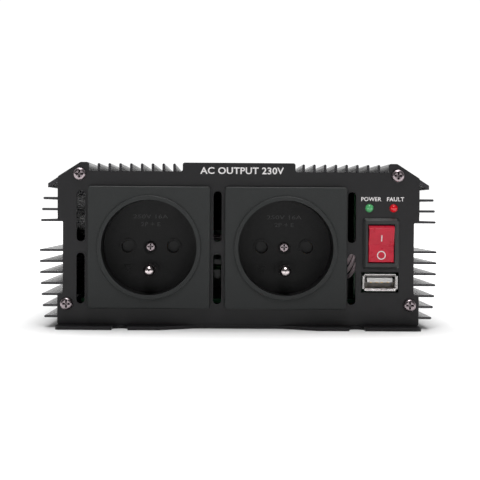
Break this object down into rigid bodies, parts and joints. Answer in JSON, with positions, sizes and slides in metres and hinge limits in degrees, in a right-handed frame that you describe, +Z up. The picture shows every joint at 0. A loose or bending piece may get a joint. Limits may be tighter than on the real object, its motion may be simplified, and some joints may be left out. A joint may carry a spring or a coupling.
{
  "type": "power inverter",
  "caption": "Finned case that turns battery current into mains, with round outlets, rocker switch, USB outlet, fan and battery terminals.",
  "frame": {"origin": "underside of the base plate, at its middle", "axes": "+X to the right when facing the front panel, the front faces -Y, +Z up"},
  "size_m": [0.1636, 0.2668, 0.0681],
  "materials": {
    "anodised_aluminium": "black anodised, satin",
    "black_powder_coat": "fine-textured powder coat",
    "bright_steel": "nickel plated",
    "dark_steel": "zinc plated",
    "dark_grey_plastic": "fine spark-eroded texture",
    "black_plastic": "satin",
    "red_plastic": "glossy",
    "brass": "bright",
    "green_lens": "clear tinted epoxy",
    "red_lens": "clear tinted epoxy",
    "white_plastic": "satin",
    "board_green": "solder mask",
    "ferrite": "sintered",
    "enamelled_copper": "enamelled wire",
    "capacitor_sleeve": "shrunk sleeve",
    "fuse_orange": "translucent",
    "moulded_epoxy": "moulded",
    "wire_white": "PVC insulation",
    "wire_green": "PVC insulation",
    "wire_black": "PVC insulation",
    "wire_red": "PVC insulation"
  },
  "bodies": {
    "case": {"base_plate": "black_powder_coat", "base_plate_screws": "dark_steel", "board_screws": "bright_steel", "buzzer": "black_plastic", "choke_core": "ferrite", "choke_winding": "enamelled_copper", "clamp_bar_screws": "bright_steel", "clamp_bars": "dark_steel", "clamp_blocks": "black_plastic", "control_wires": "wire_white", "driver_board": "board_green", "earth_link": "wire_green", "earth_pins": "bright_steel", "earth_screw": "bright_steel", "fan_bush": "ferrite", "fan_frame": "black_plastic", "fan_guard": "bright_steel", "fan_nuts": "bright_steel", "fan_screws": "bright_steel", "fan_wires": "wire_black", "fault_led": "red_lens", "front_board": "board_green", "front_panel": "black_powder_coat", "fuses": "fuse_orange", "heatsink_shell": "anodised_aluminium", "input_capacitors": "capacitor_sleeve", "insulating_pads": "white_plastic", "left_socket_body": "dark_grey_plastic", "main_board": "board_green", "mains_wires": "wire_white", "negative_bushing": "black_plastic", "negative_lead": "wire_black", "output_capacitors": "capacitor_sleeve", "panel_screws": "bright_steel", "positive_bushing": "red_plastic", "positive_lead": "wire_red", "power_led": "green_lens", "rear_panel": "black_powder_coat", "right_socket_body": "dark_grey_plastic", "socket_contacts": "brass", "socket_screws": "bright_steel", "standoff_screws": "dark_steel", "standoffs": "brass", "switch_housing": "black_plastic", "switch_terminals": "brass", "terminal_lugs": "brass", "terminal_nuts": "brass", "terminal_studs": "brass", "transformer_cores": "ferrite", "transformer_windings": "enamelled_copper", "transistors": "moulded_epoxy", "usb_contacts": "brass", "usb_shell": "bright_steel", "usb_tongue": "white_plastic"},
    "rocker": {"switch_rocker": "red_plastic"},
    "rotor": {"fan_rotor": "black_plastic"},
    "positive_washer_body": {"positive_washer": "brass"},
    "positive_knob_body": {"positive_knob": "red_plastic"},
    "negative_washer_body": {"negative_washer": "brass"},
    "negative_knob_body": {"negative_knob": "black_plastic"}
  },
  "joints": [
    {"name": "rocker_tilt", "type": "hinge", "parent": "case", "child": "rocker", "pos_m": [0.0585, -0.1163, 0.03525], "axis": [-1, 0, 0], "range_deg": [0, 22]},
    {"name": "fan_spin", "type": "hinge", "parent": "case", "child": "rotor", "pos_m": [-0.036, 0.1075, 0.0335], "axis": [0, 1, 0], "continuous": true},
    {"name": "positive_washer_slide", "type": "slide", "parent": "case", "child": "positive_washer_body", "axis": [0, 1, 0], "range_m": [0, 0.00376]},
    {"name": "positive_knob_turn", "type": "hinge", "parent": "positive_washer_body", "child": "positive_knob_body", "pos_m": [0.018, 0.1315, 0.0335], "axis": [0, 1, 0], "range_deg": [0, 1080]},
    {"name": "negative_washer_slide", "type": "slide", "parent": "case", "child": "negative_washer_body", "axis": [0, 1, 0], "range_m": [0, 0.00376]},
    {"name": "negative_knob_turn", "type": "hinge", "parent": "negative_washer_body", "child": "negative_knob_body", "pos_m": [0.05, 0.1315, 0.0335], "axis": [0, 1, 0], "range_deg": [0, 1080]}
  ],
  "couplings": [
    {"joint": "positive_washer_slide", "follows": "positive_knob_turn", "m_per_rad": 0.00019894},
    {"joint": "negative_washer_slide", "follows": "negative_knob_turn", "m_per_rad": 0.00019894}
  ]
}
